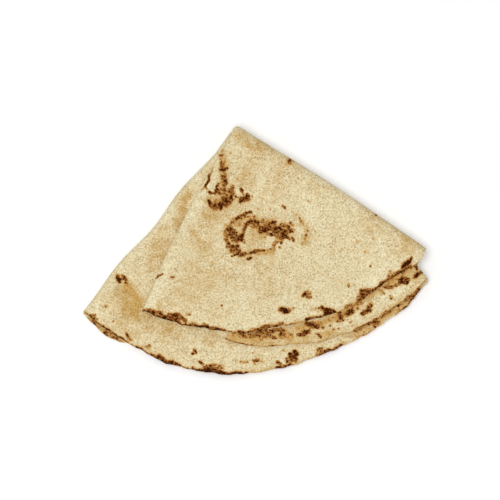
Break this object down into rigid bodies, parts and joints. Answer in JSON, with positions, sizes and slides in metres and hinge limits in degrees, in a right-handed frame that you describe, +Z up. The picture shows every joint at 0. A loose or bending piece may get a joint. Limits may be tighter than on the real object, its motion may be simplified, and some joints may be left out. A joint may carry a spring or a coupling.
{
  "type": "folded saj bread",
  "caption": "Thin round griddle flatbread folded in half and in half again, lying flat as a wedge of layers with a round rim.",
  "frame": {"origin": "centre of the box around the folded bread, at the level of the surface it lies on", "axes": "+Z up through the layers, +X along the longest side, the point where the creases meet towards +Y and the round rim towards -Y"},
  "size_m": [0.228, 0.1682, 0.0133],
  "materials": {
    "crust": "matt baked dough, cream with brown toasted marks"
  },
  "bodies": {
    "root": {"saj_bread": "crust"}
  },
  "joints": []
}
